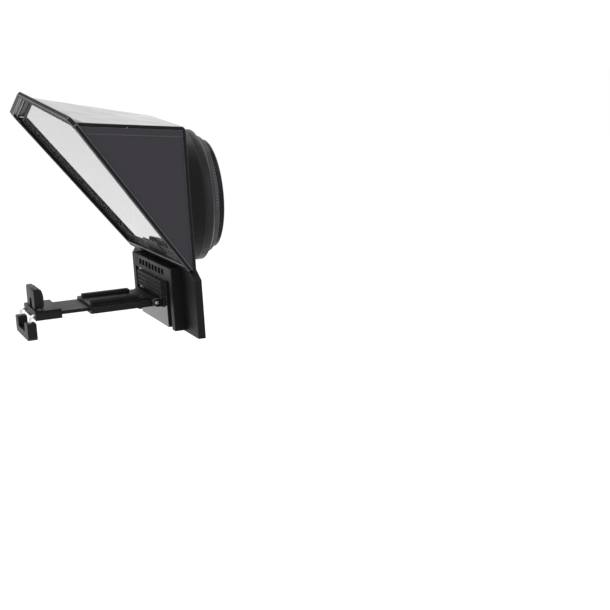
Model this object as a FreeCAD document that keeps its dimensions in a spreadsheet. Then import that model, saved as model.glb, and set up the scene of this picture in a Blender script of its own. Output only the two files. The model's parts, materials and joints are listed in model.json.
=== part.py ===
"""Clip-on phone teleprompter, as a parametric FreeCAD document (millimetres).

Row frame: the origin is on the lens axis, on the seat of the step ring against the lens.
+Y points back along the lens axis to the camera, -Y to the talent, +Z up, +X to the operator's left.
"""
import FreeCAD, Part
import math
import os
import Sketcher
from FreeCAD import Placement, Rotation, Vector

DIMENSIONS = {
    # rings
    "thread_radius": 38.5, "thread_length": 4.5, "lens_bore": 36.8, "seat_radius": 41.5, "seat_thick": 3,
    "tongue_radius": 39.5, "tongue_length": 3, "ring_radius": 46.5, "ring_reach": 10.8, "ring_web": 3.5,
    "sleeve_outer": 42.6, "sleeve_inner": 40.4, "running_gap": 0.4, "retainer_radius": 47,
    "retainer_bore": 38.4,
    "retainer_thick": 1.1, "recess_radius": 47.6, "recess_depth": 1.6, "felt_gap": 0.1, "felt_thick": 0.8,
    "ring_chamfer": 0.8,
    # rear frame
    "back_reach": 29, "plate": 3, "frame_half": 73, "corner_height": 52.3, "ridge_rear": 57.1,
    "frame_round": 4, "back_round": 2.2,
    "neck_drop": 43.5, "shoulder_drop": 48.3, "base_half": 81.6, "base_drop": 87.6, "wing_depth": 5,
    # hood
    "wall": 2, "flare": 22.3, "edge_rise": 0.124, "ridge_rise": 0.2222, "loft_reach": 126, "seam": 0.2,
    "border": 4.5, "border_low": 4, "border_front": 1.5, "border_step": 0.5,
    # slanted opening
    "glass_slope": 54, "rim_reach": 35.8, "rim_drop": 42.7, "rim_depth": 3, "rim_lip": 1.2,
    "rim_bar": 4.8,
    "rim_corner": 5, "rim_step": 1.4, "top_step": 3, "gasket_width": 1.4, "gasket_depth": 0.7,
    "glass_depth": 3.7, "glass_thick": 1.5,
    "glass_gap": 0.6, "glass_start": 2.4, "latch_half": 68, "tongue_half": 22, "latch_height": 13.5,
    "latch_foot": 0.6,
    "clip_half": 4, "clip_wide": 7, "clip_thick": 2, "clip_gap": 0.2,
    # base cover
    "cover_half": 52, "cover_depth": 7.5, "cover_top": 43.6, "cover_bottom": 86.5, "cavity_half": 40,
    "cavity_depth": 3.5, "groove_half": 45, "panel_half": 35.5, "panel_top": 53, "panel_thick": 1.5,
    "groove_depth": 2.5, "grille_half": 34, "grille_top": 45, "grille_bottom": 51.6, "grille_depth": 2,
    "slot_share": 0.36, "slot_margin": 1, "slot_depth": 1.6, "screw_tap": 4, "screw_inset": 4,
    "screw_low": 5,
    "screw_high": 3, "cavity_floor": 2, "gasket_start": 0.4, "gasket_tail": 2, "glass_chop": 4,
    "pad_side": 0.5, "pad_curve": 1, "pad_seat": 0.2, "pad_foot": 2.4, "pad_shoulder": 5, "pad_head": 1.2,
    "pad_cap": 0.6,
    "pad_half": 31, "pad_top": 54, "pad_bottom": 64.8, "pad_thick": 2.5, "pad_rib": 1.2, "rib_pitch": 3,
    "rib_start": 2.2, "rib_depth": 0.8, "rib_share": 0.94,
    # tray and its hinge
    "pivot_reach": 46.6, "pivot_drop": 69.7, "barrel_radius": 3.1, "pin_radius": 1.2, "pin_gap": 0.05,
    "tray_half": 22.5, "tray_top": 66.6, "tray_bottom": 72.8, "tray_bevel": 1.8, "tray_front": 92,
    "channel_half": 19.6, "channel_top": 68.2, "channel_bottom": 71.2, "channel_rear": 51,
    "knuckle_width": 5, "knuckle_gap": 0.3, "knuckle_reach": 2.6, "knuckle_nose": 1.6,
    "bracket_thick": 1.2,
    "bracket_top": 66.2, "bracket_bottom": 73.4,
    "strip_top": 64.3, "strip_in": 11, "strip_out": 17, "strip_rear": 56, "strip_front": 90,
    # sliding clamp
    "block_rear": 112, "block_front": 130, "slide_half": 19.3, "slide_top": 68.5, "slide_bottom": 70.9,
    "slide_rear": 74, "jaw_half": 14, "jaw_front": 128.7, "jaw_back": 124, "jaw_top": 52.6,
    "phone_front": 122,
    "rod_x": 18, "rod_radius": 1.1, "rod_drop": 69.8, "rod_bend": 3.2, "rod_end": 79.5, "rod_start": 118,
    "grip_half": 23, "grip_back": 130.1, "grip_front": 136.6, "grip_top": 74.5, "grip_bottom": 86,
    "notch_half": 12.5, "notch_bottom": 81.2, "grip_bevel": 1.5, "grip_edge": 1,
    "set_screw_reach": 126, "set_screw_head": 1.9, "arch_half": 4.2, "arch_side": 4.5, "arch_point": 2.4,
    "arch_top": 6.8, "arch_depth": 3, "jaw_round": 1.2, "spring_x": 10, "spring_outer": 1.2,
    "spring_inner": 0.8,
    # screws
    "screw_shank": 1.25, "screw_head": 2.4, "screw_grip": 8.5, "screw_cap": 1.4, "small_shank": 0.7,
    "small_head": 1.2, "small_cap": 0.6, "small_grip": 3, "head_gap": 0.1,
}


class Size:
    """A number together with the sheet expression that gives it."""

    def __init__(self, number, text):
        self.number = number
        self.text = text

    def _join(self, sign, other, number, swap=False):
        first, second = (other, self) if swap else (self, other)
        return Size(number, "(%s %s %s)" % (first.text, sign, second.text))

    def __add__(self, other):
        other = size(other)
        return self._join("+", other, self.number + other.number)

    def __sub__(self, other):
        other = size(other)
        return self._join("-", other, self.number - other.number)

    def __mul__(self, other):
        other = size(other)
        return self._join("*", other, self.number * other.number)

    def __truediv__(self, other):
        other = size(other)
        return self._join("/", other, self.number / other.number)

    def __radd__(self, other):
        return size(other) + self

    def __rsub__(self, other):
        return size(other) - self

    def __rmul__(self, other):
        return size(other) * self

    def __neg__(self):
        return Size(-self.number, "(0 - %s)" % self.text)


def size(value):
    return value if isinstance(value, Size) else Size(float(value), "(%s)" % float(value))


def sine(angle):
    return Size(math.sin(math.radians(angle.number)), "sin(%s)" % angle.text)


def cosine(angle):
    return Size(math.cos(math.radians(angle.number)), "cos(%s)" % angle.text)


def tangent(angle):
    return Size(math.tan(math.radians(angle.number)), "tan(%s)" % angle.text)


class Sheet:
    """The driving dimensions, read as attributes."""

    def __init__(self, doc):
        cells = doc.addObject("Spreadsheet::Sheet", "dims")
        for row, (alias, value) in enumerate(DIMENSIONS.items(), start=1):
            cells.set("A%d" % row, alias)
            cells.set("B%d" % row, str(value))
            cells.setAlias("B%d" % row, alias)
        doc.recompute()
        for alias, value in DIMENSIONS.items():
            setattr(self, alias, Size(float(value), "dims." + alias))


doc = FreeCAD.newDocument("teleprompter")
d = Sheet(doc)

# Slanted opening: v runs up the slope from the front_rim's lower front edge.
flare_rate = tangent(d.flare)
slope_sin = sine(d.glass_slope)
slope_cos = cosine(d.glass_slope)
rim_setback = d.rim_reach - d.back_reach
wall_start = d.frame_half + flare_rate * rim_setback
wall_rate = flare_rate * slope_cos
corner_v = (d.corner_height + d.rim_drop + d.edge_rise * rim_setback) / (slope_sin - d.edge_rise * slope_cos)
ridge_v = (d.ridge_rear + d.rim_drop + d.ridge_rise * rim_setback) / (slope_sin - d.ridge_rise * slope_cos)
corner_half = wall_start + wall_rate * corner_v
gable_rate = (ridge_v - corner_v) / corner_half
wall_width = d.wall / cosine(d.flare)


def bind(obj, path, value):
    obj.setExpression(path, size(value).text)


def new_body(label):
    body = doc.addObject("PartDesign::Body", label)
    body.Label = label
    return body


def slanted_body(label):
    """A body whose XY plane is the plane of the slanted opening, +Z towards the talent."""
    body = new_body(label)
    lean = Rotation(Vector(1, 0, 0), 180 - d.glass_slope.number)
    body.Placement = Placement(Vector(0, -d.rim_reach.number, -d.rim_drop.number), lean)
    bind(body, "Placement.Base.y", -d.rim_reach)
    bind(body, "Placement.Base.z", -d.rim_drop)
    bind(body, "Placement.Rotation.Angle", 180 - d.glass_slope)
    return body


def new_sketch(body, name, role, offset=0):
    """A sketch on one of the body's origin planes, moved along the plane's normal."""
    sketch = body.newObject("Sketcher::SketchObject", body.Label + "_" + name)
    plane = next(item for item in body.Origin.OriginFeatures if item.Role == role)
    sketch.AttachmentSupport = (plane, [""])
    sketch.MapMode = "FlatFace"
    bind(sketch, ".AttachmentOffset.Base.z", offset)
    return sketch


def pin_point(sketch, shape, point, x, y):
    for kind, value in (("DistanceX", size(x)), ("DistanceY", size(y))):
        if abs(value.number) < 1e-9:
            axis = -2 if kind == "DistanceX" else -1
            sketch.addConstraint(Sketcher.Constraint("PointOnObject", shape, point, axis))
            continue
        index = sketch.addConstraint(Sketcher.Constraint(kind, -1, 1, shape, point, value.number))
        bind(sketch, "Constraints[%d]" % index, value)


def add_polygon(sketch, points):
    corners = [Vector(size(x).number, size(y).number, 0) for x, y in points]
    first = sketch.GeometryCount
    count = len(corners)
    for i in range(count):
        sketch.addGeometry(Part.LineSegment(corners[i], corners[(i + 1) % count]))
    for i in range(count):
        following = first + (i + 1) % count
        sketch.addConstraint(Sketcher.Constraint("Coincident", first + i, 2, following, 1))
    for i, (x, y) in enumerate(points):
        pin_point(sketch, first + i, 1, x, y)


def add_circle(sketch, radius, x=0, y=0):
    centre = Vector(size(x).number, size(y).number, 0)
    circle = sketch.addGeometry(Part.Circle(centre, Vector(0, 0, 1), size(radius).number))
    pin_point(sketch, circle, 3, x, y)
    index = sketch.addConstraint(Sketcher.Constraint("Radius", circle, size(radius).number))
    bind(sketch, "Constraints[%d]" % index, radius)


def add_feature(body, kind, name, sketch):
    feature = body.newObject("PartDesign::" + kind, body.Label + "_" + name)
    feature.Profile = sketch
    return feature


def pad(body, name, sketch, length, reverse=False, both=False):
    feature = add_feature(body, "Pad", name, sketch)
    bind(feature, "Length", length)
    feature.Reversed = reverse
    if both:
        feature.SideType = "Symmetric"
    doc.recompute()
    return feature


def pocket(body, name, sketch, length=None, reverse=False, both=False):
    """Cut a profile out of the body, and stop if the cut takes nothing away."""
    before = body.Shape.Volume
    feature = add_feature(body, "Pocket", name, sketch)
    if length is None:
        feature.Type = "ThroughAll"
    else:
        bind(feature, "Length", length)
    feature.Reversed = reverse
    if both:
        feature.SideType = "Symmetric"
    doc.recompute()
    if body.Shape.Volume >= before - 1e-3:
        raise RuntimeError("%s cut nothing" % feature.Name)
    return feature


def revolve_about_y(body, points):
    sketch = new_sketch(body, "section", "YZ_Plane")
    add_polygon(sketch, points)
    feature = add_feature(body, "Revolution", "turned", sketch)
    feature.ReferenceAxis = (sketch, ["H_Axis"])
    doc.recompute()


def round_edges(body, name, radius, wanted):
    """Round the edges for which wanted(edge) is true."""
    base = body.Tip
    edges = ["Edge%d" % (i + 1) for i, edge in enumerate(base.Shape.Edges) if wanted(edge)]
    feature = body.newObject("PartDesign::Fillet", body.Label + "_" + name)
    feature.Base = (base, edges)
    bind(feature, "Radius", radius)
    doc.recompute()


def along(axis):
    """A test for straight edges that run along an axis."""
    def test(edge):
        if edge.Curve.TypeId != "Part::GeomLine":
            return False
        return abs(abs(edge.Curve.Direction.dot(axis)) - 1) < 1e-6
    return test


def box_points(half, top, bottom):
    """Corners of a rectangle centred on x = 0; top and bottom are distances below the axis."""
    return [(-half, -bottom), (half, -bottom), (half, -top), (-half, -top)]


def mirrored(points):
    """Complete a left-right symmetric outline from its +X half, listed upwards."""
    return points + [(-x, y) for x, y in reversed(points) if abs(size(x).number) > 1e-9]


def cylinder(name, radius, height, base, axis):
    """A primitive cylinder from base along axis."""
    solid = doc.addObject("Part::Cylinder", name)
    bind(solid, "Radius", radius)
    bind(solid, "Height", height)
    turn = Rotation(Vector(0, 0, 1), axis)
    solid.Placement = Placement(Vector(*[size(value).number for value in base]), turn)
    for letter, value in zip("xyz", base):
        bind(solid, "Placement.Base." + letter, value)
    return solid


def group(label, solids):
    """One node that holds several separate solids."""
    node = doc.addObject("Part::Compound", label)
    node.Label = label
    node.Links = solids
    return node


def fuse(label, solids):
    node = doc.addObject("Part::MultiFuse", label)
    node.Label = label
    node.Shapes = solids
    return node


def screws(label, places, axis, shank, head, grip, head_height):
    """Round-headed screws; each place is under the head, and axis is the way the shank goes."""
    solids = []
    for number, place in enumerate(places):
        name = "%s_%d" % (label, number)
        shaft = cylinder(name + "_shank", shank, grip, place, axis)
        cap = cylinder(name + "_head", head, head_height, place, axis * -1)
        solids.append(fuse(name, [shaft, cap]))
    return group(label, solids)


# ---------------------------------------------------------------- rings on the lens

def make_step_ring():
    body = new_body("step_ring")
    seat = -d.seat_thick
    tongue = seat - d.tongue_length
    revolve_about_y(body, [
        (d.thread_length, d.lens_bore), (d.thread_length, d.thread_radius), (0, d.thread_radius),
        (0, d.seat_radius), (seat, d.seat_radius), (seat, d.tongue_radius),
        (tongue, d.tongue_radius), (tongue, d.lens_bore)])
    return body


def sleeve_end():
    return d.back_reach + d.plate - d.recess_depth + d.running_gap


def make_lens_ring():
    body = new_body("lens_ring")
    seat = -d.seat_thick
    tongue = seat - d.tongue_length
    web = tongue - d.ring_web
    end = -sleeve_end()
    shoulder = -d.ring_reach
    socket = d.tongue_radius + d.pin_gap
    revolve_about_y(body, [
        (seat, socket), (seat, d.seat_radius + d.ring_chamfer), (tongue, d.ring_radius),
        (shoulder, d.ring_radius), (shoulder, d.sleeve_outer), (end, d.sleeve_outer),
        (end, d.sleeve_inner), (web, d.sleeve_inner), (web, d.lens_bore), (tongue, d.lens_bore),
        (tongue, socket)])
    drill_small_holes(body, "holes", d.small_shank, sleeve_end(), d.small_grip)
    return body


def retainer_places():
    middle = (d.sleeve_inner + d.sleeve_outer) / 2
    under_head = d.small_cap - d.retainer_thick - sleeve_end()
    return [(middle * math.cos(turn), under_head, middle * math.sin(turn))
            for turn in (math.pi / 4 + math.pi / 2 * step for step in range(4))]


def drill_small_holes(body, name, radius, start, depth):
    """Four holes for the retainer's screws, drilled towards the camera."""
    sketch = new_sketch(body, name, "XZ_Plane", start)
    for x, _, z in retainer_places():
        add_circle(sketch, radius, x, z)
    pocket(body, name + "_cut", sketch, depth)


def make_ring_retainer():
    body = new_body("ring_retainer")
    start = -sleeve_end()
    face = start - d.retainer_thick
    revolve_about_y(body, [
        (start, d.retainer_bore), (start, d.retainer_radius),
        (face, d.retainer_radius), (face, d.retainer_bore)])
    front = sleeve_end() + d.retainer_thick
    drill_small_holes(body, "holes", d.small_shank, front, d.retainer_thick)
    drill_small_holes(body, "sinks", d.small_head + d.head_gap, front, d.small_cap)
    return body


def make_felt_ring():
    body = new_body("felt_ring")
    start = -(d.ring_reach + d.felt_gap)
    end = start - d.felt_thick
    revolve_about_y(body, [
        (start, d.sleeve_outer + d.running_gap), (start, d.ring_radius),
        (end, d.ring_radius), (end, d.sleeve_outer + d.running_gap)])
    return body


# ---------------------------------------------------------------- rear frame

def base_screw_places():
    across = d.cover_half - d.screw_inset
    return [(side * across, -d.back_reach, -drop) for side in (-1, 1)
            for drop in (d.shoulder_drop + d.screw_high, d.cover_bottom - d.screw_low)]


def make_rear_frame():
    body = new_body("rear_frame")
    outline = new_sketch(body, "outline", "XZ_Plane", d.back_reach)
    add_polygon(outline, mirrored([
        (d.base_half, -d.base_drop), (d.base_half, -d.shoulder_drop), (d.frame_half, -d.neck_drop),
        (d.frame_half, d.corner_height), (0, d.ridge_rear)]))
    pad(body, "plate", outline, d.plate)
    wings = new_sketch(body, "wings", "XZ_Plane", d.back_reach)
    add_polygon(wings, mirrored([
        (d.base_half, -d.base_drop), (d.base_half, -d.shoulder_drop), (d.frame_half, -d.neck_drop)]))
    pad(body, "wing_plate", wings, d.wing_depth)
    collar = new_sketch(body, "collar", "XZ_Plane", d.back_reach)
    add_circle(collar, d.ring_radius)
    collar_end = d.ring_reach + d.felt_gap + d.felt_thick
    pad(body, "collar_tube", collar, d.back_reach - collar_end, reverse=True)
    bore = new_sketch(body, "bore", "XZ_Plane", d.back_reach)
    add_circle(bore, d.sleeve_outer + d.running_gap)
    pocket(body, "bore_cut", bore, d.back_reach * 3, both=True)
    recess = new_sketch(body, "recess", "XZ_Plane", d.back_reach + d.wing_depth)
    add_circle(recess, d.recess_radius)
    pocket(body, "recess_cut", recess, d.wing_depth - d.plate + d.recess_depth)
    holes = new_sketch(body, "screw_holes", "XZ_Plane", d.back_reach)
    for x, _, z in base_screw_places():
        add_circle(holes, d.screw_shank, x, z)
    pocket(body, "screw_drilling", holes, d.wing_depth, reverse=True)
    corner = d.corner_height.number
    round_edges(body, "corners", d.frame_round, lambda edge: along(Vector(0, 1, 0))(edge)
                and abs(edge.Vertexes[0].Z - corner) < 0.01)
    ridge = d.ridge_rear.number
    rear = -d.back_reach.number
    round_edges(body, "back_edge", d.back_round, lambda edge: all(
        abs(v.Y - rear) < 0.01 and v.Z > corner for v in edge.Vertexes)
        and any(abs(v.Z - ridge) < 0.01 for v in edge.Vertexes))
    return body


# ---------------------------------------------------------------- hood

def make_hood_side(label, side):
    """A flat wall flared outwards: drawn in its own upright plane, then turned about Z."""
    body = new_body(label)
    turn = Rotation(Vector(0, 0, 1), side * d.flare.number)
    body.Placement = Placement(Vector(side * d.frame_half.number, -d.back_reach.number, 0), turn)
    bind(body, "Placement.Base.x", side * d.frame_half)
    bind(body, "Placement.Base.y", -d.back_reach)
    run = cosine(d.flare)
    front_rate = slope_sin / slope_cos
    rim_y = d.rim_reach - d.rim_depth * slope_sin - d.back_reach + d.wall
    rim_z = -d.rim_drop + d.rim_depth * slope_cos
    rear = d.plate / run
    top_start = d.corner_height - d.wall - d.seam
    top_rate = d.edge_rise * run
    bottom_z = rim_z + front_rate * (d.plate - rim_y)
    meet = (top_start - rim_z + front_rate * rim_y) / (front_rate * run - top_rate)
    outline = new_sketch(body, "outline", "YZ_Plane")
    add_polygon(outline, [
        (-rear, bottom_z), (-rear, top_start + top_rate * rear), (-meet, top_start + top_rate * meet)])
    pad(body, "wall", outline, d.wall, reverse=side > 0)
    inset = new_sketch(body, "inset", "YZ_Plane")
    rear_in = rear + d.seam
    top_in = top_start - d.border
    meet_in = (top_in - rim_z + front_rate * rim_y) / (front_rate * run - top_rate) - d.border_front
    low_in = rim_z + front_rate * (rear_in * run - rim_y) + d.border_low
    add_polygon(inset, [
        (-rear_in, low_in), (-rear_in, top_in + top_rate * rear_in), (-meet_in, top_in + top_rate * meet_in)])
    pocket(body, "recess", inset, d.border_step, reverse=side < 0)
    trim_to_rim(body, side)
    return body


def trim_to_rim(body, side):
    """Cut a flared wall off along the rim's rear plane, drawn in an upright plane square to X."""
    cut = new_sketch(body, "rim_cut", "YZ_Plane")
    cut.AttachmentOffset = Placement(Vector(0, 0, 0), Rotation(Vector(0, -side, 0), d.flare.number))
    bind(cut, ".AttachmentOffset.Rotation.Angle", d.flare)
    rim_y = d.rim_reach - d.rim_depth * slope_sin - d.back_reach
    rim_z = -d.rim_drop + d.rim_depth * slope_cos
    lean = slope_cos / slope_sin
    low = -d.cover_bottom
    top = d.cover_bottom
    add_polygon(cut, [
        (-(rim_y + lean * (low - rim_z)), low), (-(rim_y + lean * (top - rim_z)), top),
        (-d.loft_reach, top), (-d.loft_reach, low)])
    pocket(body, "rim_face", cut, d.loft_reach, both=True)


def hood_section(body, name, reach):
    """The crowned top's section in an upright plane, reach in front of the origin."""
    ahead = reach - d.back_reach
    half = d.frame_half + flare_rate * ahead
    edge = d.corner_height + d.edge_rise * ahead
    ridge = d.ridge_rear + d.ridge_rise * ahead
    sketch = new_sketch(body, name, "XZ_Plane", reach)
    add_polygon(sketch, [
        (-half, edge - d.wall), (0, ridge - d.wall), (half, edge - d.wall),
        (half, edge), (0, ridge), (-half, edge)])
    return sketch


def make_hood_top():
    body = new_body("hood_top")
    rear = hood_section(body, "rear_section", d.back_reach + d.plate)
    front = hood_section(body, "front_section", d.loft_reach)
    loft = add_feature(body, "AdditiveLoft", "shell", rear)
    loft.Sections = [front]
    loft.Ruled = True
    doc.recompute()
    rim_y = d.rim_reach - d.rim_depth * slope_sin
    rim_z = -d.rim_drop + d.rim_depth * slope_cos
    top = d.ridge_rear * 2
    low = size(0)
    cut = new_sketch(body, "rim_cut", "YZ_Plane")
    lean = slope_cos / slope_sin
    add_polygon(cut, [
        (-(rim_y + lean * (low - rim_z)), low), (-(rim_y + lean * (top - rim_z)), top),
        (-d.loft_reach * 1.2, top), (-d.loft_reach * 1.2, low)])
    pocket(body, "rim_face", cut, d.loft_reach * 3, both=True)
    return body


# ---------------------------------------------------------------- slanted opening

def opening_outline(inset, low, chop, drop=0):
    """Outline of the opening on its plane, inset from the walls' outer faces, from v = low upwards."""
    side_end = corner_v - inset - drop - chop
    top_half = corner_half - inset - chop
    top_end = corner_v - inset - drop + gable_rate * chop
    return mirrored([
        (wall_start - inset + wall_rate * low, low), (wall_start - inset + wall_rate * side_end, side_end),
        (top_half, top_end), (0, ridge_v - inset - drop)])


def make_front_rim():
    body = slanted_body("front_rim")
    outer = new_sketch(body, "outer", "XY_Plane", -d.rim_depth)
    add_polygon(outer, opening_outline(-d.rim_lip, 0, d.rim_corner))
    pad(body, "frame", outer, d.rim_depth)
    rear_window = new_sketch(body, "rear_window", "XY_Plane")
    add_polygon(rear_window, opening_outline(wall_width, d.rim_bar, d.rim_corner, d.top_step))
    pocket(body, "rear_window_cut", rear_window)
    front_window = new_sketch(body, "front_window", "XY_Plane")
    add_polygon(front_window, opening_outline(wall_width, d.rim_bar, d.rim_corner))
    pocket(body, "front_window_cut", front_window, d.rim_step)
    return body


GLASS_FALL = 0.35   # how much narrower the walls stand per millimetre behind the front_rim
TOP_FALL = 1.16     # how much lower the top stands, measured up the slope


def glass_outline(grow=0):
    depth = d.glass_depth + d.glass_thick
    inset = wall_width + depth * GLASS_FALL + d.glass_gap - grow
    return opening_outline(inset, d.glass_start, d.glass_chop, depth * (TOP_FALL - GLASS_FALL))


def make_glass():
    body = slanted_body("beam_splitter_glass")
    sheet = new_sketch(body, "outline", "XY_Plane", -(d.glass_depth + d.glass_thick))
    add_polygon(sheet, glass_outline())
    pad(body, "sheet", sheet, d.glass_thick)
    return body


def make_gasket():
    """A strip along the sides and top of the glass, open at the bottom."""
    body = slanted_body("glass_gasket")
    outer = new_sketch(body, "outer", "XY_Plane", -d.glass_depth)
    points = glass_outline()
    low = d.rim_bar + d.gasket_start
    across = points[0][0] + wall_rate * (low - d.glass_start)
    points[0] = (across, low)
    points[-1] = (-across, low)
    add_polygon(outer, points)
    pad(body, "strip", outer, d.gasket_depth)
    inner = new_sketch(body, "inner", "XY_Plane")
    points = glass_outline(-d.gasket_width)
    points[0] = (points[0][0], -d.gasket_tail)
    points[-1] = (points[-1][0], -d.gasket_tail)
    add_polygon(inner, points)
    pocket(body, "window", inner)
    return body


def make_glass_latch():
    """The sill behind the front_rim's lower bar, with a tongue over the foot of the glass."""
    body = slanted_body("glass_latch")
    sill = new_sketch(body, "outline", "XY_Plane", -d.glass_depth)
    add_polygon(sill, mirrored([
        (d.latch_half, d.latch_foot), (d.latch_half, d.rim_bar), (d.tongue_half, d.rim_bar),
        (d.tongue_half - 2, d.latch_height)]))
    pad(body, "sill", sill, d.gasket_depth)
    return body


CLIP_PLACES = (28, 104)   # distances up the slope


def make_glass_clips():
    """Corner clips behind the glass, their outer edges along the flared walls."""
    clips = []
    depth = d.glass_depth + d.glass_thick + d.clip_thick
    for place in CLIP_PLACES:
        for side in (-1, 1):
            body = slanted_body("glass_clip_%s%d" % ("r" if side < 0 else "l", place))
            sketch = new_sketch(body, "outline", "XY_Plane", -depth)
            edge = wall_start - wall_width - depth * GLASS_FALL - d.clip_gap
            start = place - d.clip_half
            end = place + d.clip_half
            low = edge + wall_rate * start
            high = edge + wall_rate * end
            add_polygon(sketch, [
                (side * low, start), (side * high, end),
                (side * (high - d.clip_wide), end), (side * (low - d.clip_wide), start)])
            pad(body, "clip", sketch, d.clip_thick)
            clips.append(body)
    return clips


# ---------------------------------------------------------------- base cover

def make_base_cover():
    body = new_body("base_cover")
    front = d.back_reach + d.wing_depth + d.cover_depth
    outline = new_sketch(body, "outline", "XZ_Plane", d.back_reach + d.wing_depth)
    add_polygon(outline, box_points(d.cover_half, d.cover_top, d.cover_bottom))
    pad(body, "block", outline, d.cover_depth)
    cavity = new_sketch(body, "cavity", "XZ_Plane", d.back_reach + d.wing_depth)
    add_polygon(cavity, box_points(d.cavity_half, d.panel_top, d.cover_bottom - d.cavity_floor))
    pocket(body, "hollow", cavity, d.cavity_depth, reverse=True)
    for name, left, right in (("groove_left", d.panel_half, d.groove_half),
                              ("groove_right", -d.groove_half, -d.panel_half)):
        groove = new_sketch(body, name, "XZ_Plane", front)
        add_polygon(groove, [(left, -d.base_drop), (right, -d.base_drop),
                             (right, -d.panel_top), (left, -d.panel_top)])
        pocket(body, name + "_cut", groove, d.groove_depth)
    seat = new_sketch(body, "panel_seat", "XZ_Plane", front)
    add_polygon(seat, box_points(d.panel_half, d.panel_top, d.base_drop))
    pocket(body, "panel_seat_cut", seat, d.panel_thick)
    window = new_sketch(body, "grille_window", "XZ_Plane", front)
    add_polygon(window, box_points(d.grille_half, d.grille_top, d.grille_bottom))
    pocket(body, "grille_cut", window, d.grille_depth)
    holes = new_sketch(body, "screw_holes", "XZ_Plane", d.back_reach + d.wing_depth)
    for x, _, z in base_screw_places():
        add_circle(holes, d.screw_shank, x, z)
    pocket(body, "screw_drilling", holes, d.screw_tap, reverse=True)
    return body


def make_front_panel():
    body = new_body("front_panel")
    back = d.back_reach + d.wing_depth + d.cover_depth - d.panel_thick
    outline = new_sketch(body, "outline", "XZ_Plane", back)
    add_polygon(outline, box_points(d.panel_half, d.panel_top, d.cover_bottom))
    pad(body, "panel", outline, d.panel_thick)
    return body


GRILLE_SLOTS = 8


def make_base_grille():
    body = new_body("base_grille")
    front = d.back_reach + d.wing_depth + d.cover_depth
    outline = new_sketch(body, "outline", "XZ_Plane", front - d.grille_depth)
    add_polygon(outline, box_points(d.grille_half, d.grille_top, d.grille_bottom))
    pad(body, "insert", outline, d.grille_depth)
    slots = new_sketch(body, "slots", "XZ_Plane", front)
    pitch = d.grille_half * 2 / GRILLE_SLOTS
    low = -(d.grille_bottom - d.slot_margin)
    high = -(d.grille_top + d.slot_margin)
    for number in range(GRILLE_SLOTS):
        middle = -d.grille_half + pitch * (number + 0.5)
        wide = pitch * d.slot_share
        add_polygon(slots, [
            (middle - wide, low), (middle + wide, low), (middle + wide, high), (middle - wide, high)])
    pocket(body, "slot_cuts", slots, d.slot_depth)
    return body


def make_rear_pad():
    body = new_body("rear_pad")
    front = d.back_reach + d.wing_depth + d.cover_depth
    outline = new_sketch(body, "outline", "XZ_Plane", front)
    add_polygon(outline, box_points(d.pad_half, d.pad_top, d.pad_bottom))
    pad(body, "rubber", outline, d.pad_thick)
    ribs = new_sketch(body, "ribs", "XZ_Plane", front + d.pad_thick)
    for number in range(3):
        drop = d.pad_top + d.rib_start + d.rib_pitch * number
        add_polygon(ribs, box_points(d.pad_half * d.rib_share, drop, drop + d.pad_rib))
    pocket(body, "rib_cuts", ribs, d.rib_depth)
    return body


# ---------------------------------------------------------------- tray hinge

def make_hinge_bracket():
    body = new_body("hinge_bracket")
    face = d.back_reach + d.wing_depth + d.cover_depth
    inner = d.tray_half + d.knuckle_gap
    outer = inner + d.knuckle_width
    strip = new_sketch(body, "strip", "XZ_Plane", face)
    add_polygon(strip, box_points(outer, d.bracket_top, d.bracket_bottom))
    pad(body, "plate", strip, d.bracket_thick)
    nose = d.pivot_reach + d.knuckle_reach
    for side in (-1, 1):
        name = "knuckle_" + ("left" if side > 0 else "right")
        knuckle = new_sketch(body, name, "YZ_Plane", side * (inner + outer) / 2)
        add_polygon(knuckle, [
            (-face, -(d.pivot_drop + d.barrel_radius)), (-face, -(d.pivot_drop - d.barrel_radius)),
            (-d.pivot_reach, -(d.pivot_drop - d.barrel_radius)),
            (-nose, -(d.pivot_drop - d.knuckle_nose)), (-nose, -(d.pivot_drop + d.knuckle_nose)),
            (-d.pivot_reach, -(d.pivot_drop + d.barrel_radius))])
        pad(body, name + "_ear", knuckle, d.knuckle_width, both=True)
    eye = new_sketch(body, "eye", "YZ_Plane")
    add_circle(eye, d.pin_radius, -d.pivot_reach, -d.pivot_drop)
    pocket(body, "eye_cut", eye, d.tray_half * 4, both=True)
    return body


def make_hinge_pin():
    half = d.tray_half + d.knuckle_gap + d.knuckle_width
    pin = cylinder("hinge_pin", d.pin_radius, half * 2,
                   (-half, -d.pivot_reach, -d.pivot_drop), Vector(1, 0, 0))
    pin.Label = "hinge_pin"
    return pin


# ---------------------------------------------------------------- tray

def tray_section():
    """The tray's section across its length, with bevelled upper edges."""
    return mirrored([
        (d.tray_half, -d.tray_bottom), (d.tray_half, -(d.tray_top + d.tray_bevel)),
        (d.tray_half - d.tray_bevel, -d.tray_top)])


def make_phone_tray():
    body = new_body("phone_tray")
    outline = new_sketch(body, "outline", "XZ_Plane", d.pivot_reach)
    add_polygon(outline, tray_section())
    pad(body, "channel", outline, d.tray_front - d.pivot_reach)
    barrel = new_sketch(body, "barrel", "YZ_Plane")
    add_circle(barrel, d.barrel_radius, -d.pivot_reach, -d.pivot_drop)
    pad(body, "barrel_tube", barrel, d.tray_half * 2, both=True)
    slot = new_sketch(body, "slot", "XZ_Plane", d.tray_front)
    add_polygon(slot, box_points(d.channel_half, d.channel_top, d.channel_bottom))
    pocket(body, "slot_cut", slot, d.tray_front - d.channel_rear)
    eye = new_sketch(body, "eye", "YZ_Plane")
    add_circle(eye, d.pin_radius + d.pin_gap, -d.pivot_reach, -d.pivot_drop)
    pocket(body, "eye_cut", eye, d.tray_half * 4, both=True)
    return body


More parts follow.
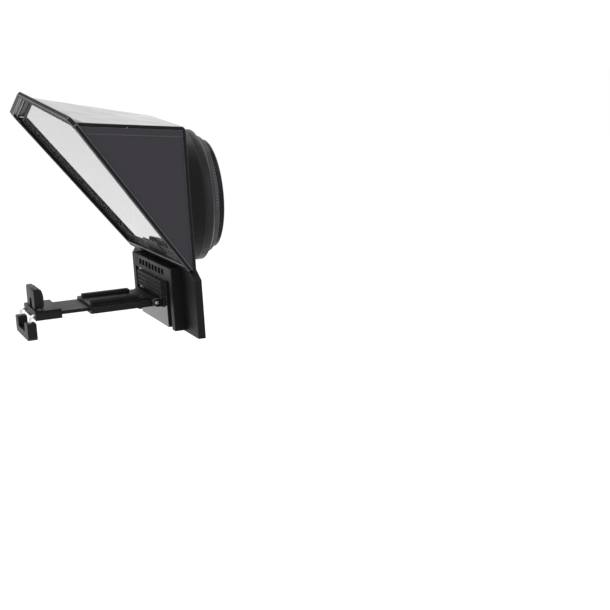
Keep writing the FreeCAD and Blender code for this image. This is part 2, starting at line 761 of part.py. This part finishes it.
def make_tray_pads():
    """Two rubber strips that the phone lies on."""
    strips = []
    for side in (-1, 1):
        body = new_body("tray_strip_" + ("left" if side > 0 else "right"))
        outline = new_sketch(body, "outline", "XY_Plane", -d.tray_top)
        add_polygon(outline, [
            (side * d.strip_in, -d.strip_rear), (side * d.strip_out, -d.strip_rear),
            (side * d.strip_out, -d.strip_front), (side * d.strip_in, -d.strip_front)])
        pad(body, "strip", outline, d.tray_top - d.strip_top)
        strips.append(body)
    return group("tray_pads", strips)


# ---------------------------------------------------------------- sliding clamp

def make_slide_plate():
    body = new_body("slide_plate")
    block = new_sketch(body, "block", "XZ_Plane", d.block_rear)
    add_polygon(block, tray_section())
    pad(body, "front_block", block, d.block_front - d.block_rear)
    blade = new_sketch(body, "blade", "XZ_Plane", d.slide_rear)
    add_polygon(blade, box_points(d.slide_half, d.slide_top, d.slide_bottom))
    pad(body, "blade_plate", blade, d.block_rear - d.slide_rear)
    holes = new_sketch(body, "rod_holes", "XZ_Plane", d.block_front)
    for side in (-1, 1):
        add_circle(holes, d.rod_radius, side * d.rod_x, -d.rod_drop)
    pocket(body, "rod_drilling", holes, d.block_front - d.rod_start)
    taps = new_sketch(body, "set_screw_holes", "XY_Plane", -d.tray_top)
    for side in (-1, 1):
        add_circle(taps, d.small_shank, side * d.rod_x, -d.set_screw_reach)
    pocket(body, "set_screw_drilling", taps, d.rod_drop - d.rod_radius - d.tray_top)
    return body


def make_front_jaw():
    body = new_body("front_jaw")
    profile = new_sketch(body, "profile", "YZ_Plane")
    add_polygon(profile, [
        (-d.jaw_front, -d.tray_top), (-d.jaw_back, -d.tray_top), (-d.jaw_back, -d.jaw_top),
        (-d.jaw_front, -d.jaw_top)])
    pad(body, "block", profile, d.jaw_half * 2, both=True)
    arch = new_sketch(body, "arch", "XZ_Plane", d.jaw_front)
    add_polygon(arch, mirrored([
        (d.arch_half, -d.tray_top), (d.arch_half, -(d.tray_top - d.arch_side)),
        (d.arch_point, -(d.tray_top - d.arch_top))]))
    pocket(body, "arch_cut", arch, d.arch_depth)
    top = -d.jaw_top.number
    round_edges(body, "top_round", d.jaw_round, lambda edge: along(Vector(1, 0, 0))(edge)
                and abs(edge.Vertexes[0].Z - top) < 0.01)
    return body


def make_jaw_pad():
    """A rubber pad with a rounded face towards the phone."""
    body = new_body("jaw_pad")
    profile = new_sketch(body, "profile", "YZ_Plane")
    back = -d.phone_front
    add_polygon(profile, [
        (-d.jaw_back, -(d.tray_top - d.pad_seat)), (back - d.pad_curve, -(d.tray_top - d.pad_seat)),
        (back, -(d.tray_top - d.pad_foot)), (back, -(d.jaw_top + d.pad_shoulder)),
        (back - d.pad_curve, -(d.jaw_top + d.pad_head)), (-d.jaw_back, -(d.jaw_top + d.pad_cap))])
    pad(body, "rubber", profile, (d.jaw_half - d.pad_side) * 2, both=True)
    return body


def make_pull_rod(label, side):
    """A steel wire that leaves the block forwards and bends down into the grip."""
    across = side * d.rod_x
    down_y = -(d.grip_front + d.grip_back) / 2
    bend_y = down_y + d.rod_bend
    bend_z = -d.rod_drop - d.rod_bend
    straight = cylinder(label + "_straight", d.rod_radius, -bend_y - d.rod_start,
                        (across, -d.rod_start, -d.rod_drop), Vector(0, -1, 0))
    drop = cylinder(label + "_drop", d.rod_radius, bend_z + d.rod_end,
                    (across, down_y, -d.rod_end), Vector(0, 0, 1))
    elbow = doc.addObject("Part::Torus", label + "_elbow")
    bind(elbow, "Radius1", d.rod_bend)
    bind(elbow, "Radius2", d.rod_radius)
    elbow.Angle3 = 90
    turn = Rotation(Vector(0, -1, 0), Vector(0, 0, 1), Vector(-1, 0, 0), "XYZ")
    elbow.Placement = Placement(Vector(across.number, bend_y.number, bend_z.number), turn)
    for letter, value in zip("xyz", (across, bend_y, bend_z)):
        bind(elbow, "Placement.Base." + letter, value)
    return fuse(label, [straight, elbow, drop])


def make_pull_handle():
    body = new_body("pull_handle")
    outline = new_sketch(body, "outline", "XZ_Plane", d.grip_back)
    add_polygon(outline, mirrored([
        (d.grip_half - d.grip_bevel, -d.grip_bottom), (d.grip_half, -(d.grip_bottom - d.grip_bevel)),
        (d.grip_half, -(d.grip_top + d.grip_edge)), (d.grip_half - d.grip_edge, -d.grip_top),
        (d.notch_half + d.grip_edge, -d.grip_top), (d.notch_half, -(d.grip_top + d.grip_edge)),
        (d.notch_half, -d.notch_bottom)]))
    pad(body, "bar", outline, d.grip_front - d.grip_back)
    holes = new_sketch(body, "rod_holes", "XY_Plane", -d.grip_top)
    middle = -(d.grip_front + d.grip_back) / 2
    for side in (-1, 1):
        add_circle(holes, d.rod_radius, side * d.rod_x, middle)
    pocket(body, "rod_drilling", holes, d.rod_end - d.grip_top)
    return body


def make_springs():
    """Two tension springs behind the blade, drawn as thin tubes."""
    tubes = []
    for side in (-1, 1):
        name = "spring_" + ("left" if side > 0 else "right")
        base = (side * d.spring_x, -(d.channel_rear + d.knuckle_gap), -d.rod_drop)
        length = d.slide_rear - d.channel_rear - d.knuckle_gap * 2
        outer = cylinder(name + "_outside", d.spring_outer, length, base, Vector(0, -1, 0))
        inner = cylinder(name + "_inside", d.spring_inner, length, base, Vector(0, -1, 0))
        tube = doc.addObject("Part::Cut", name)
        tube.Base = outer
        tube.Tool = inner
        tubes.append(tube)
    return group("clamp_springs", tubes)


def make_all():
    back = Vector(0, 1, 0)
    tap_depth = d.rod_drop - d.rod_radius - d.tray_top
    set_screws = [(side * d.rod_x, -d.set_screw_reach, -d.tray_top) for side in (-1, 1)]
    nodes = [
        make_step_ring(), make_lens_ring(), make_ring_retainer(),
        screws("retainer_screws", retainer_places(), back, d.small_shank, d.small_head,
               d.small_grip, d.small_cap),
        make_felt_ring(), make_rear_frame(),
        make_hood_side("hood_left", 1), make_hood_side("hood_right", -1), make_hood_top(),
        make_front_rim(), make_glass(), make_gasket(), make_glass_latch(),
        group("glass_clips", make_glass_clips()),
        make_base_cover(), make_front_panel(), make_base_grille(), make_rear_pad(),
        screws("base_screws", base_screw_places(), back * -1, d.screw_shank, d.screw_head,
               d.screw_grip, d.screw_cap),
        make_hinge_bracket(), make_hinge_pin(), make_phone_tray(), make_tray_pads(), make_springs(),
        make_slide_plate(), make_front_jaw(), make_jaw_pad(),
        make_pull_rod("pull_rod_left", 1), make_pull_rod("pull_rod_right", -1),
        screws("rod_set_screws", set_screws, Vector(0, 0, -1), d.small_shank, d.set_screw_head,
               tap_depth, d.screw_cap),
        make_pull_handle(),
    ]
    return nodes


def check(nodes):
    """Stop on any failed object or bad solid."""
    doc.recompute()
    for obj in doc.Objects:
        if "Invalid" in obj.State or "Error" in obj.State:
            raise RuntimeError("%s failed: %s" % (obj.Name, obj.State))
    for node in nodes:
        if node.Shape.isNull() or not node.Shape.isValid() or not node.Shape.Solids:
            raise RuntimeError("%s has a bad shape" % node.Label)


nodes = make_all()
check(nodes)
os.makedirs("parts", exist_ok=True)
for node in nodes:
    node.Shape.exportStep(os.path.join("parts", node.Label + ".step"))
    box = node.Shape.BoundBox
    print("%-22s solids %d volume %9.1f  x %7.1f %7.1f  y %7.1f %7.1f  z %7.1f %7.1f" % (
        node.Label, len(node.Shape.Solids), node.Shape.Volume,
        box.XMin, box.XMax, box.YMin, box.YMax, box.ZMin, box.ZMax))
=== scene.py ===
"""Looks of the clip-on teleprompter: camera, studio, procedural materials and detailed pieces (metres)."""
import json
import math

import bmesh
import bpy
from mathutils import Matrix, Vector


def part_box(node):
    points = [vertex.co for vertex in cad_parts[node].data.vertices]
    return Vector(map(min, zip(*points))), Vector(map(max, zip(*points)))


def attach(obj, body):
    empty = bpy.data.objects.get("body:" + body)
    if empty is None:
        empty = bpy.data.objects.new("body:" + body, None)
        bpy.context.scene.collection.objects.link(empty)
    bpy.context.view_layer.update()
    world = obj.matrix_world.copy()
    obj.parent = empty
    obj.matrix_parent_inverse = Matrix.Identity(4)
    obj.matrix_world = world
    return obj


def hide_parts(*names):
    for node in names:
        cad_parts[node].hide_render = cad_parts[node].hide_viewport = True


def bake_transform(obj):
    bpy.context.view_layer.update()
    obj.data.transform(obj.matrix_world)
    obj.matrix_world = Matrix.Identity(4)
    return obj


MM = 0.001
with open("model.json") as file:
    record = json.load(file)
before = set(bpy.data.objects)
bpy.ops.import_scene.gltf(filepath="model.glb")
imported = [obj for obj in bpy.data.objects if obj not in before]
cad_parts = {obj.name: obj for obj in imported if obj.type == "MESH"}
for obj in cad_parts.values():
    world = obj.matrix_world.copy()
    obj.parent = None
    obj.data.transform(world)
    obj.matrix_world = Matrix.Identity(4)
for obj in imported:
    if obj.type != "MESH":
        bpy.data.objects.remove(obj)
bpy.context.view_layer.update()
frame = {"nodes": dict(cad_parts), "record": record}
nodes = frame["nodes"]


# ---------------------------------------------------------------- camera and studio

CAMERA_AZIMUTH = 69.09
CAMERA_ELEVATION = 10.85
CAMERA_ROLL = -3.48
CAMERA_DISTANCE = 0.82576
CAMERA_TARGET = Vector((0.17312, 0.008, -0.05535))
CAMERA_LENS = 79.93
SENSOR_WIDTH = 36
LIGHT_TARGET = (0, -0.05, 0)
WORLD_STRENGTH = 1.04
FLOOR_LEVEL = -0.34
FLOOR_HALF = 12


def make_camera():
    azimuth = math.radians(CAMERA_AZIMUTH)
    elevation = math.radians(CAMERA_ELEVATION)
    roll = math.radians(CAMERA_ROLL)
    flat = math.cos(elevation)
    back = Vector((math.sin(azimuth) * flat, -math.cos(azimuth) * flat, math.sin(elevation)))
    level = Vector((math.cos(azimuth), math.sin(azimuth), 0))
    above = back.cross(level)
    right = level * math.cos(roll) + above * math.sin(roll)
    up = above * math.cos(roll) - level * math.sin(roll)
    data = bpy.data.cameras.new("camera")
    data.lens = CAMERA_LENS
    data.sensor_width = SENSOR_WIDTH
    camera = bpy.data.objects.new("camera", data)
    bpy.context.scene.collection.objects.link(camera)
    turn = Matrix((right, up, back)).transposed().to_4x4()
    camera.matrix_world = Matrix.Translation(CAMERA_TARGET + back * CAMERA_DISTANCE) @ turn
    bpy.context.scene.camera = camera


def aim(obj, place, target):
    obj.location = place
    obj.rotation_euler = (Vector(target) - Vector(place)).to_track_quat("-Z", "Y").to_euler()


def softbox(name, place, size, power):
    data = bpy.data.lights.new(name, "AREA")
    data.shape = "RECTANGLE"
    data.size, data.size_y = size
    data.energy = power
    lamp = bpy.data.objects.new(name, data)
    bpy.context.scene.collection.objects.link(lamp)
    aim(lamp, place, LIGHT_TARGET)


def make_floor():
    half = FLOOR_HALF
    corners = [(x, y, FLOOR_LEVEL) for x, y in ((-half, -half), (half, -half), (half, half), (-half, half))]
    mesh = bpy.data.meshes.new("floor")
    mesh.from_pydata(corners, [], [(0, 1, 2, 3)])
    floor = bpy.data.objects.new("floor", mesh)
    bpy.context.scene.collection.objects.link(floor)
    white = finish("floor_white", (0.97, 0.97, 0.97), 0.95, patch=3, vary=0.01, bump=0, gloss=0.3)
    floor.data.materials.append(white)


def make_studio():
    """A white room with three soft lamps, so that the background stays plain white."""
    world = bpy.data.worlds.new("studio")
    world.use_nodes = True
    background = world.node_tree.nodes["Background"]
    background.inputs["Color"].default_value = (1.0, 1.0, 1.0, 1)
    background.inputs["Strength"].default_value = WORLD_STRENGTH
    bpy.context.scene.world = world
    bpy.context.scene.view_settings.view_transform = "Standard"
    softbox("key", (0.9, -0.9, 1.3), (1.0, 1.0), 9)
    softbox("fill", (1.4, 0.5, 0.5), (0.8, 1.2), 4)
    softbox("back", (-0.9, 0.9, 1.1), (0.9, 0.9), 5)
    make_floor()


# ---------------------------------------------------------------- materials

SHEEN_SPREAD = 0.05
# Slots whose bevelled edges take the painted edge highlight.
EDGE_HIGHLIGHT_SLOTS = ("moulded_black", "grip_plastic", "side_charcoal")


def link(tree, source, target):
    tree.links.new(source, target)


def noise(tree, coordinates, size, detail=3.0):
    """Noise whose features are about size metres across."""
    node = tree.nodes.new("ShaderNodeTexNoise")
    node.inputs["Scale"].default_value = 1.0 / size
    node.inputs["Detail"].default_value = detail
    link(tree, coordinates, node.inputs["Vector"])
    return node.outputs["Fac"]


def spread(tree, value, low, high):
    """Stretch the middle of a noise to run from low to high."""
    node = tree.nodes.new("ShaderNodeMapRange")
    node.inputs["From Min"].default_value = 0.3
    node.inputs["From Max"].default_value = 0.7
    node.inputs["To Min"].default_value = low
    node.inputs["To Max"].default_value = high
    link(tree, value, node.inputs["Value"])
    return node.outputs["Result"]


def tint(tree, value, dark, light):
    node = tree.nodes.new("ShaderNodeMix")
    node.data_type = "RGBA"
    node.inputs["A"].default_value = (*dark, 1)
    node.inputs["B"].default_value = (*light, 1)
    link(tree, value, node.inputs["Factor"])
    return node.outputs["Result"]


def relief(tree, height, shader, distance, strength=1.0):
    node = tree.nodes.new("ShaderNodeBump")
    node.inputs["Strength"].default_value = strength
    node.inputs["Distance"].default_value = distance
    link(tree, height, node.inputs["Height"])
    link(tree, node.outputs["Normal"], shader.inputs["Normal"])


def finish(name, colour, roughness, grain=0.3 * MM, bump=0.1, gloss=0.5, vary=0.12, patch=18 * MM, **sockets):
    """A moulded or painted surface: fine grain, slight colour change and uneven sheen."""
    material = bpy.data.materials.new(name)
    material.use_nodes = True
    tree = material.node_tree
    shader = tree.nodes["Principled BSDF"]
    coordinates = tree.nodes.new("ShaderNodeTexCoord").outputs["Object"]
    wide = noise(tree, coordinates, patch)
    fine = noise(tree, coordinates, grain, 2.0)
    dark = [c * (1 - vary) for c in colour]
    light = [c * (1 + vary) for c in colour]
    share = spread(tree, wide, 0, 1)
    link(tree, tint(tree, share, dark, light), shader.inputs["Base Color"])
    sheen = spread(tree, wide, roughness - SHEEN_SPREAD, roughness + SHEEN_SPREAD)
    link(tree, sheen, shader.inputs["Roughness"])
    if bump:
        relief(tree, fine, shader, bump * grain)
    shader.inputs["Specular IOR Level"].default_value = gloss
    for socket, value in sockets.items():
        shader.inputs[socket.replace("_", " ")].default_value = value
    return material


def turned_metal(name, colour, roughness, groove=0.25 * MM):
    """Lathe-turned metal: fine rings round the lens axis."""
    material = finish(name, colour, roughness, grain=0.4 * MM, bump=0.03, Metallic=1.0)
    tree = material.node_tree
    wave = tree.nodes.new("ShaderNodeTexWave")
    wave.wave_type = "BANDS"
    wave.bands_direction = "Y"
    wave.inputs["Scale"].default_value = 0.3 / groove
    coordinates = tree.nodes.new("ShaderNodeTexCoord").outputs["Object"]
    link(tree, coordinates, wave.inputs["Vector"])
    relief(tree, wave.outputs["Fac"], tree.nodes["Principled BSDF"], 0.01 * MM)
    return material


def coated_glass(name):
    """A half-mirror: part of the light is reflected by the coating and part goes through."""
    material = bpy.data.materials.new(name)
    material.use_nodes = True
    tree = material.node_tree
    shader = tree.nodes["Principled BSDF"]
    coordinates = tree.nodes.new("ShaderNodeTexCoord").outputs["Object"]
    smear = noise(tree, coordinates, 35 * MM)
    link(tree, tint(tree, spread(tree, smear, 0, 1), (0.61, 0.62, 0.625), (0.63, 0.64, 0.645)),
         shader.inputs["Base Color"])
    link(tree, spread(tree, smear, 0.01, 0.025), shader.inputs["Roughness"])
    shader.inputs["Metallic"].default_value = 0.2
    shader.inputs["Transmission Weight"].default_value = 0.9
    shader.inputs["IOR"].default_value = 1.5
    return material


def felt_cloth(name):
    """Short matted fibres with a soft sheen."""
    return finish(name, (0.012, 0.012, 0.013), 0.95, grain=0.35 * MM, bump=0.5, gloss=0.1, vary=0.3,
                  patch=1.5 * MM, Sheen_Weight=0.4)


MATERIALS = {
    "moulded_black": finish("black_moulding", (0.005, 0.005, 0.006), 0.48, bump=0.10, gloss=0.09),
    "side_charcoal": finish("charcoal_moulding", (0.019, 0.017, 0.023), 0.52, grain=0.45 * MM, bump=0.16,
                            gloss=0.22, vary=0.06),
    "top_gloss": finish("gloss_top", (0.060, 0.053, 0.049), 0.17, bump=0.004, gloss=0.5, vary=0.04,
                        Coat_Weight=0.35, Coat_Roughness=0.08, Coat_IOR=1.5),
    "ring_black": finish("ring_satin", (0.006, 0.006, 0.007), 0.40, bump=0.08, gloss=0.22),
    "anodised": turned_metal("anodised_black", (0.05, 0.05, 0.055), 0.35),
    "glass": coated_glass("half_mirror"),
    "rubber": finish("soft_rubber", (0.010, 0.010, 0.010), 0.75, grain=0.5 * MM, bump=0.2, gloss=0.25),
    "felt": felt_cloth("felt_black"),
    "panel_gloss": finish("polished_panel", (0.010, 0.010, 0.011), 0.14, grain=4 * MM, bump=0.004,
                          gloss=0.35),
    "steel": finish("bright_steel", (0.62, 0.62, 0.63), 0.20, grain=0.5 * MM, bump=0.03, Metallic=1.0),
    "screw_black": finish("black_oxide", (0.06, 0.06, 0.065), 0.40, grain=0.2 * MM, bump=0.08, Metallic=1.0),
    "grip_plastic": finish("grip_moulding", (0.005, 0.005, 0.006), 0.44, bump=0.12, gloss=0.12),
}
# Painted highlight: a lighter, glossier black laid on the bevels of the black mouldings, standing for the
# light their edges catch.
EDGE_HIGHLIGHT_PAINT = finish("painted_edge_highlight", (0.045, 0.045, 0.048), 0.32, grain=0.2 * MM, bump=0.05, gloss=0.45, vary=0.4,
                   patch=4 * MM)


def dress_nodes():
    """Each CAD node takes the material of its slot, and the black mouldings a second one, a painted edge
    highlight, for their edges.
    """
    for part in frame["record"]["subparts"]:
        surface = nodes[part["node"]].data.materials
        surface.clear()
        surface.append(MATERIALS[part["material_slot"]])
        if part["material_slot"] in EDGE_HIGHLIGHT_SLOTS:
            surface.append(EDGE_HIGHLIGHT_PAINT)


def dull_underside():
    """The top panel is polished outside only: faces that look down or along take the matt black."""
    top = nodes["hood_top"].data
    top.materials.append(MATERIALS["moulded_black"])
    for face in top.polygons:
        face.material_index = 0 if face.normal.z > 0.5 else 1


# ---------------------------------------------------------------- softened edges

SOFT_EDGES = {
    "rear_frame": 0.5, "hood_left": 0.35, "hood_right": 0.35, "hood_top": 0.4, "front_rim": 0.5,
    "base_cover": 0.4, "front_panel": 0.25, "base_grille": 0.15, "rear_pad": 0.2, "hinge_bracket": 0.3,
    "phone_tray": 0.4, "tray_pads": 0.3, "slide_plate": 0.4, "front_jaw": 0.5, "jaw_pad": 0.3,
    "pull_handle": 0.5, "glass_latch": 0.2, "glass_clips": 0.3, "lens_ring": 0.2, "ring_retainer": 0.15,
    "beam_splitter_glass": 0.2,
}
SAME_POINT = 1e-6
SHARP_ANGLE = math.radians(40)


def soften_edges():
    """Weld each node and bevel its sharp edges; the bevels of the black mouldings take the painted edge
    highlight material.
    """
    for node, width in SOFT_EDGES.items():
        weld = nodes[node].modifiers.new("weld", "WELD")
        weld.merge_threshold = SAME_POINT
        bevel = nodes[node].modifiers.new("soft_edge", "BEVEL")
        bevel.width = width * MM
        bevel.segments = 2
        bevel.limit_method = "ANGLE"
        bevel.angle_limit = SHARP_ANGLE
        bevel.harden_normals = True
        # The bevel faces take material 1, the painted edge highlight.
        if len(nodes[node].data.materials) > 1 and node != "hood_top":
            bevel.material = 1


# ---------------------------------------------------------------- mesh helpers

def new_object(name, mesh_data, slot, body):
    obj = bpy.data.objects.new(name, mesh_data)
    bpy.context.scene.collection.objects.link(obj)
    obj.data.materials.append(MATERIALS[slot])
    if body:
        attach(obj, body)
    return obj


def grid_mesh(name, rows, closed_rows=True, closed_columns=True, smooth=True):
    """A mesh from rows of points, joined along and across."""
    shape = bmesh.new()
    made = [[shape.verts.new(point) for point in row] for row in rows]
    last_row = len(made) if closed_rows else len(made) - 1
    count = len(made[0])
    last_column = count if closed_columns else count - 1
    for i in range(last_row):
        for j in range(last_column):
            here, there = made[i], made[(i + 1) % len(made)]
            face = shape.faces.new((here[j], here[(j + 1) % count], there[(j + 1) % count], there[j]))
            face.smooth = smooth
    bmesh.ops.recalc_face_normals(shape, faces=shape.faces)
    data = bpy.data.meshes.new(name)
    shape.to_mesh(data)
    shape.free()
    return data


def tube_mesh(name, points, radius, sides=10):
    """A round wire along points, closed at both ends."""
    shape = bmesh.new()
    rings = []
    side = Vector((0, 0, 1))
    for i, point in enumerate(points):
        ahead = points[min(i + 1, len(points) - 1)] - points[max(i - 1, 0)]
        ahead.normalize()
        side = (side - ahead * side.dot(ahead)).normalized()
        other = ahead.cross(side)
        ring = []
        for k in range(sides):
            turn = 2 * math.pi * k / sides
            ring.append(shape.verts.new(point + (side * math.cos(turn) + other * math.sin(turn)) * radius))
        rings.append(ring)
    for first, second in zip(rings, rings[1:]):
        for k in range(sides):
            face = shape.faces.new((first[k], first[(k + 1) % sides], second[(k + 1) % sides], second[k]))
            face.smooth = True
    shape.faces.new(list(reversed(rings[0])))
    shape.faces.new(rings[-1])
    data = bpy.data.meshes.new(name)
    shape.to_mesh(data)
    shape.free()
    return data


def islands(node):
    """The boxes of a node's separate solids, as (low, high) pairs."""
    shape = bmesh.new()
    shape.from_mesh(nodes[node].data)
    bmesh.ops.remove_doubles(shape, verts=shape.verts, dist=SAME_POINT)
    left = set(shape.verts)
    found = []
    while left:
        queue = [left.pop()]
        points = []
        while queue:
            vert = queue.pop()
            points.append(vert.co.copy())
            for edge in vert.link_edges:
                other = edge.other_vert(vert)
                if other in left:
                    left.remove(other)
                    queue.append(other)
        low = Vector([min(p[k] for p in points) for k in range(3)])
        high = Vector([max(p[k] for p in points) for k in range(3)])
        found.append((low, high))
    shape.free()
    return sorted(found, key=lambda pair: tuple(pair[0]))


# ---------------------------------------------------------------- threaded step ring

THREAD_RADIUS = 38.5 * MM
THREAD_PITCH = 0.75 * MM
THREAD_DEPTH = 0.35 * MM
THREAD_MARGIN = 0.2 * MM
THREAD_FOOT = 0.3 * MM
THREAD_LEAD = 0.5 * MM
THREAD_STEPS = 30
RING_BORE = 36.8 * MM
RING_TONGUE = 39.5 * MM
RING_SEAT = 3 * MM
RING_STEPS = 720
RIM_CHAMFER = 0.4 * MM
RIM_EDGE = 0.3 * MM
KNURL_DEPTH = 0.25 * MM
KNURL_STEPS = 6


def zigzag(value):
    """Falls from 1 to 0 and rises to 1 again over each whole number."""
    return abs((value % 1) - 0.5) * 2


def ring_section(low, high, phase, knurl):
    """The ring's outline as (y, radius) points, with the thread moved on by phase of its pitch."""
    rim = high.x
    seat = low.y + RING_SEAT
    section = [
        (low.y, RING_BORE), (low.y, RING_TONGUE), (seat, RING_TONGUE), (seat, rim - RIM_CHAMFER),
        (seat + RIM_EDGE, rim - knurl), (-RIM_EDGE, rim - knurl), (0, rim - RIM_CHAMFER),
        (0, THREAD_RADIUS - THREAD_FOOT)]
    for k in range(THREAD_STEPS + 1):
        y = THREAD_MARGIN + (high.y - 2 * THREAD_MARGIN) * k / THREAD_STEPS
        section.append((y, THREAD_RADIUS - THREAD_DEPTH * zigzag(y / THREAD_PITCH + phase)))
    section += [(high.y, THREAD_RADIUS - THREAD_LEAD), (high.y, RING_BORE)]
    return section


def make_step_ring():
    """The metal ring that screws into the lens: a helical thread behind a ribbed rim."""
    low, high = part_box("step_ring")
    rows = []
    for i in range(RING_STEPS):
        share = i / RING_STEPS
        turn = 2 * math.pi * share
        section = ring_section(low, high, share, KNURL_DEPTH * zigzag(i / KNURL_STEPS))
        rows.append([(radius * math.cos(turn), y, radius * math.sin(turn)) for y, radius in section])
    name = "step_ring_threaded"
    ring = new_object(name, grid_mesh(name, rows, smooth=False), "anodised", "lens_mount")
    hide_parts("step_ring")


# ---------------------------------------------------------------- springs

SPRING_TURNS = 13
SPRING_WIRE_RADIUS = 0.25 * MM
SPRING_WIRE_SIDES = 8
SPRING_TURN_STEPS = 24


def make_springs():
    """Two tension springs, drawn out between the tray and the blade."""
    wire = SPRING_WIRE_RADIUS
    count = SPRING_TURNS * SPRING_TURN_STEPS
    for number, (low, high) in enumerate(islands("clamp_springs")):
        middle = (low + high) / 2
        coil = (high.x - low.x) / 2 - wire
        start, end = high.y - wire, low.y + wire
        points = []
        for i in range(count + 1):
            share = i / count
            turn = 2 * math.pi * SPRING_TURNS * share
            along = start + (end - start) * share
            points.append(Vector((middle.x + coil * math.cos(turn), along, middle.z + coil * math.sin(turn))))
        name = "tension_spring_%d" % (number + 1)
        spring = new_object(name, tube_mesh(name, points, wire, SPRING_WIRE_SIDES), "steel", None)
        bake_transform(spring)
        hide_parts("clamp_springs")


# ---------------------------------------------------------------- screws

HEAD_DOME = ((1, 0), (1, 0.45), (0.93, 0.72), (0.78, 0.93), (0.66, 1))
HEAD_STEPS = 48
HEAD_SPIN = 0.7
CROSS_CORE = 0.14
CROSS_ARM = 0.42
CROSS_POWER = 3
HEX_SHARE = 0.5
RECESS_TAPER = 0.9
RECESS_TIP = 0.02
SCREW_HEADS = (
    # node, body, axis, then radius, height and recess depth in millimetres, and the recess's corners
    ("base_screws", "prompter", (0, 1, 0), 2.4, 1.4, 0.9, 4),
    ("retainer_screws", "lens_mount", (0, -1, 0), 1.2, 0.6, 0.4, 4),
    ("rod_set_screws", "clamp", (0, 0, 1), 1.9, 1.4, 0.9, 6),
)


def recess_radius(radius, turn, corners):
    """How far the driver recess reaches from the axis in the direction of turn; 4 corners make a cross."""
    if corners == 4:
        lobe = abs(math.cos(2 * turn)) ** CROSS_POWER
        return radius * (CROSS_CORE + CROSS_ARM * lobe)
    sector = math.pi / corners
    return radius * HEX_SHARE * math.cos(sector) / math.cos((turn % (2 * sector)) - sector)


def head_mesh(name, radius, height, recess, corners):
    """A domed screw head along +Z with its driver recess, closed on both ends."""
    rows = []
    for i in range(HEAD_STEPS):
        turn = 2 * math.pi * i / HEAD_STEPS
        edge = recess_radius(radius, turn, corners)
        section = [(radius * wide, height * tall) for wide, tall in HEAD_DOME]
        floor = height - recess
        section += [(edge, height), (edge * RECESS_TAPER, floor), (RECESS_TIP * radius, floor)]
        rows.append([(r * math.cos(turn), r * math.sin(turn), z) for r, z in section])
    data = grid_mesh(name, rows, closed_columns=False, smooth=False)
    shape = bmesh.new()
    shape.from_mesh(data)
    bmesh.ops.holes_fill(shape, edges=shape.edges, sides=0)
    bmesh.ops.recalc_face_normals(shape, faces=shape.faces)
    shape.to_mesh(data)
    shape.free()
    return data


def place_heads(node, body, axis, radius, height, recess, corners):
    """A detailed head in place of each screw of a CAD node, whose shanks are out of sight in their holes."""
    axis = Vector(axis)
    turn = axis.to_track_quat("Z", "Y").to_matrix().to_4x4()
    for number, (low, high) in enumerate(islands(node)):
        middle = (low + high) / 2
        reach = high if axis.x + axis.y + axis.z > 0 else low
        base = middle.copy()
        for k in range(3):
            if abs(axis[k]) > 0.5:
                base[k] = reach[k] - axis[k] * height
        name = "%s_%d" % (node, number + 1)
        data = head_mesh(name, radius, height, recess, corners)
        spin = Matrix.Rotation(number * HEAD_SPIN, 4, "Z")
        data.transform(Matrix.Translation(base) @ turn @ spin)
        head = new_object(name + "_head", data, "screw_black", body)
        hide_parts(node)


def make_screws():
    for node, body, axis, radius, height, recess, corners in SCREW_HEADS:
        place_heads(node, body, axis, radius * MM, height * MM, recess * MM, corners)


make_camera()
make_studio()
dress_nodes()
dull_underside()
soften_edges()
make_step_ring()
make_springs()
make_screws()

bpy.context.view_layer.update()
